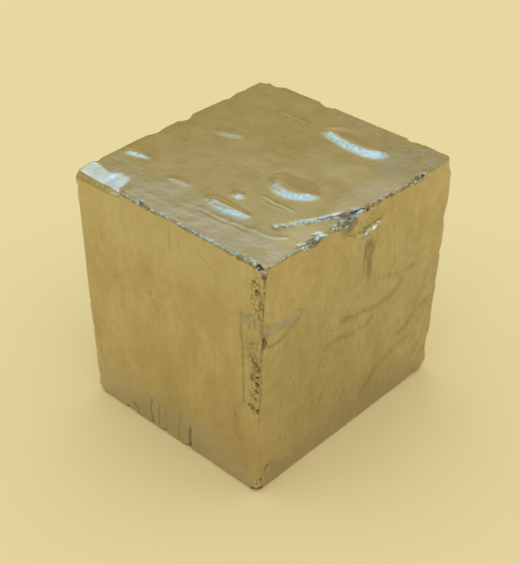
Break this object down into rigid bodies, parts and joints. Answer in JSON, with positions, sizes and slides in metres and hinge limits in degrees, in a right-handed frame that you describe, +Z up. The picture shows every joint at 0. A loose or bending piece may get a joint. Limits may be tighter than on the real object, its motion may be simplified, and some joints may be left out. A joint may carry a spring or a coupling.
{
  "type": "pyrite cube",
  "caption": "Natural pyrite crystal in the shape of a cube, with flat lustrous faces, low growth plates and chipped, pitted edges.",
  "frame": {"origin": "middle of the crystal's box, on the plane of the foot it rests on", "axes": "+Z is up from the foot to the top face; +Y runs along the longest edges; +X and -Y are the outward directions of the two side faces that meet at the chipped front edge"},
  "size_m": [0.0474, 0.0524, 0.0516],
  "materials": {
    "pyrite": "satin"
  },
  "bodies": {
    "root": {"pyrite_cube": "pyrite"}
  },
  "joints": []
}
